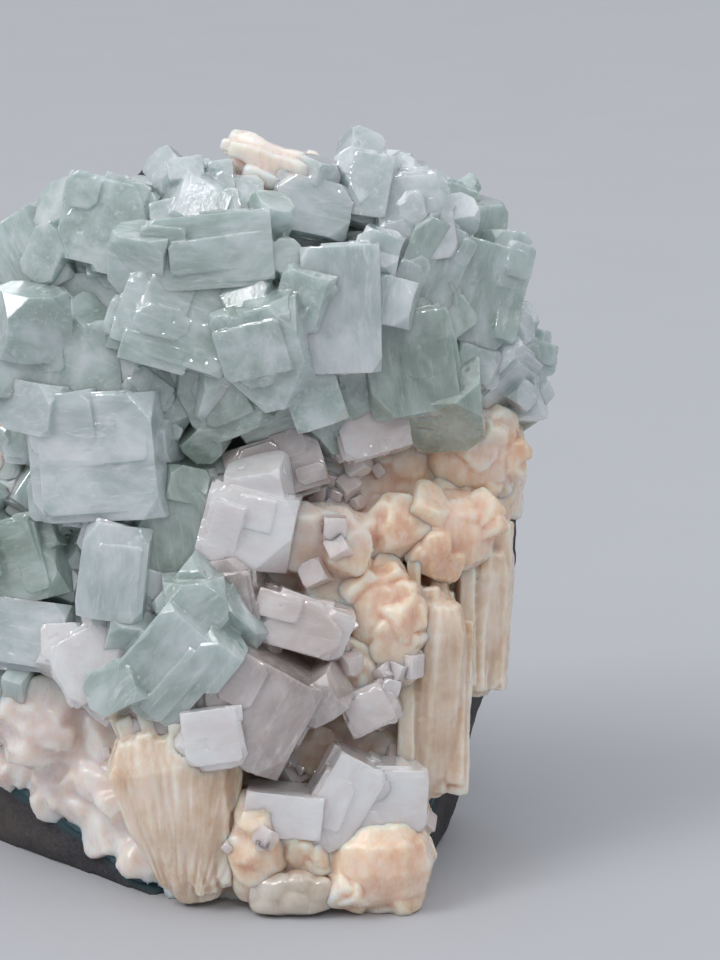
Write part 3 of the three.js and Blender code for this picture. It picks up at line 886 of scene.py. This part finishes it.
def sheaf_blades(random, points, count, spread, foot_share):
    """Corner points of long blades that run up a body from its foot and fan out by the given angle."""
    middle = points.mean(axis=0)
    long_way, wide_way, thin_way = np.linalg.svd(points - middle, full_matrices=False)[2]
    long_way = long_way * np.sign(long_way[2])
    reach, wide, thin = (np.ptp(points @ way) / 2 for way in (long_way, wide_way, thin_way))
    foot = middle - long_way * reach
    blades = []
    for _ in range(count):
        side = random.uniform(-1, 1)
        direction = long_way * math.cos(spread * side) + wide_way * math.sin(spread * side)
        turn = np.array(Vector(direction).to_track_quat("Z", "Y").to_matrix())
        half = np.array([random.uniform(0.7, 1.4) * MM, random.uniform(0.6, 1.2) * MM, reach])
        half[2] *= random.uniform(0.7, 1.02)
        across = wide_way * side * (wide + 0.4 * MM) * foot_share
        inward = thin_way * random.uniform(-0.8, 0.8) * thin
        seat = foot + across + inward + direction * (half[2] + random.uniform(0, 0.3) * reach)
        blades.append(seat + blocky_corners(random, half, 0.6) @ turn.T)
    return blades


def build_stilbite():
    """The stilbite pieces: bundles of blades, or lumps of rounded blocks."""
    silky, _ = stilbite_shader("stilbite_silky", (1, 1, 0.1), SILK, CREAM, SILK_SHADE)
    pale, _ = stilbite_shader("stilbite_pale", (1, 1, 0.1), CREAM, WHITE, ROSE)
    blocky, _ = stilbite_shader("stilbite_blocky", (1, 1, 0.4), PEACH, CREAM, AMBER)
    sheaves = {  # look, relief, and its blades' number, spread and share of the width at the foot
        "stilbite_fan": (silky, fan_relief, (60, 0.2, 0.4)),
        "stilbite_right_pillar": (silky, pillar_relief, (24, 0.03, 1.0)),
        "stilbite_edge_pillar": (silky, pillar_relief, (20, 0.03, 1.0)),
        "stilbite_left_sheaf": (pale, pillar_relief, (20, 0.15, 0.6)),
        "stilbite_top_blade": (pale, pillar_relief, (14, 0.05, 1.0)),
    }
    names = sorted(n for n in nodes if n.startswith("stilbite_") and n != "stilbite_crust")
    for seed, node in enumerate(names, start=90):
        source = welded_mesh(node, node + "_look")
        if node in sheaves:
            look, relief, shape = sheaves[node]
            blades = sheaf_blades(np.random.default_rng(seed), positions(source), *shape)
            source = joined_with(source, [hull_of(corners) for corners in blades])
        else:
            look, relief = blocky, lump_relief
            source = with_rounded_blocks(source, seed, LUMP_BLOCKS, 0.72, everywhere)
        mesh = remeshed(source, STILBITE_VOXEL, smoothing=2 if node in sheaves else 6)
        push_out(mesh, relief(positions(mesh)) * MM)
        piece = new_piece(node + "_look", mesh, look.material)
        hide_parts(node)


def build_calcite(material):
    """The clear yellowish crystals at the foot."""
    mesh = remeshed(welded_mesh("base_calcite", "calcite_look"), CALCITE_VOXEL, smoothing=2)
    points = positions(mesh)
    lumps = 0.9 * domes(points, 3 * MM, 81) - 0.5
    push_out(mesh, (lumps + 0.2 * rough_noise(points, 1.2 * MM, 82)) * MM)
    piece = new_piece("calcite_look", mesh, material)
    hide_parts("base_calcite")


# ---- Stage ----

def build_stage():
    """A wide round floor."""
    bpy.ops.mesh.primitive_circle_add(vertices=96, radius=FLOOR_RADIUS, fill_type="NGON", location=(0, 0, 0))
    floor = bpy.context.object
    floor.name = "floor"
    floor.data.materials.append(floor_material())


def add_softbox(name, place, size, power, colour):
    """A soft box turned to the specimen."""
    light = bpy.data.lights.new(name, "AREA")
    light.shape = "RECTANGLE"
    light.size, light.size_y = size
    light.energy = power
    light.color = colour
    lamp = bpy.data.objects.new(name, light)
    lamp.location = place
    lamp.rotation_euler = (CAMERA_AIM - Vector(place)).to_track_quat("-Z", "Y").to_euler()
    bpy.context.collection.objects.link(lamp)


def build_light():
    """An even studio: a sky that brightens upwards, a wide soft key from the left, and three soft boxes."""
    world = bpy.data.worlds.new("studio")
    world.use_nodes = True
    tree = world.node_tree
    height = tree.nodes.new("ShaderNodeSeparateXYZ")
    sky = tree.nodes.new("ShaderNodeValToRGB")
    tree.links.new(tree.nodes.new("ShaderNodeTexCoord").outputs["Generated"], height.inputs[0])
    tree.links.new(height.outputs["Z"], sky.inputs["Fac"])
    tree.links.new(sky.outputs["Color"], tree.nodes["Background"].inputs["Color"])
    sky.color_ramp.elements[0].color = SKY_LOW
    sky.color_ramp.elements[1].color = SKY_HIGH
    sky.color_ramp.elements[1].position = 0.82
    sky.color_ramp.elements.new(0.5).color = SKY_MIDDLE
    bpy.context.scene.world = world
    sun = bpy.data.lights.new("key", "SUN")
    sun.energy = KEY_STRENGTH
    sun.angle = KEY_WIDTH
    lamp = bpy.data.objects.new("key", sun)
    lamp.rotation_euler = Vector(KEY_FROM).to_track_quat("Z", "Y").to_euler()
    bpy.context.collection.objects.link(lamp)
    for name, softbox in SOFTBOXES.items():
        add_softbox(name, *softbox)


def build_camera():
    """In front of the specimen, a little above it."""
    data = bpy.data.cameras.new("camera")
    data.lens = CAMERA_LENS
    data.sensor_fit = "VERTICAL"
    data.sensor_height = SENSOR_HEIGHT
    data.clip_start = 0.01
    camera = bpy.data.objects.new("camera", data)
    back = Vector((0, -math.cos(CAMERA_RISE), math.sin(CAMERA_RISE)))
    camera.location = CAMERA_AIM + back * CAMERA_DISTANCE
    camera.rotation_euler = (-back).to_track_quat("-Z", "Y").to_euler()
    bpy.context.collection.objects.link(camera)
    bpy.context.scene.camera = camera
    bpy.context.scene.view_settings.view_transform = "Standard"


def main():
    """Builds everything, rock first and the smallest crystals last."""
    build_camera()
    build_stage()
    build_light()
    build_basalt()
    build_lining()
    crust = build_crust()
    build_stilbite()
    looks = {name: crystal_material(name, *look) for name, look in CRYSTAL_LOOKS.items()}
    build_calcite(looks["calcite"])
    build_crystals("green_", looks, GREEN_WORDS, "mint", GREEN_FLANKS)
    build_crystals("blush_", looks, BLUSH_WORDS, "blush", BLUSH_FLANKS)
    build_druse(crust, "green_druse", looks["mint"], green_spots, GREEN_DRUSE, 7)
    build_druse(crust, "pale_druse", looks["blush"], pale_spots, PALE_DRUSE, 8)


main()
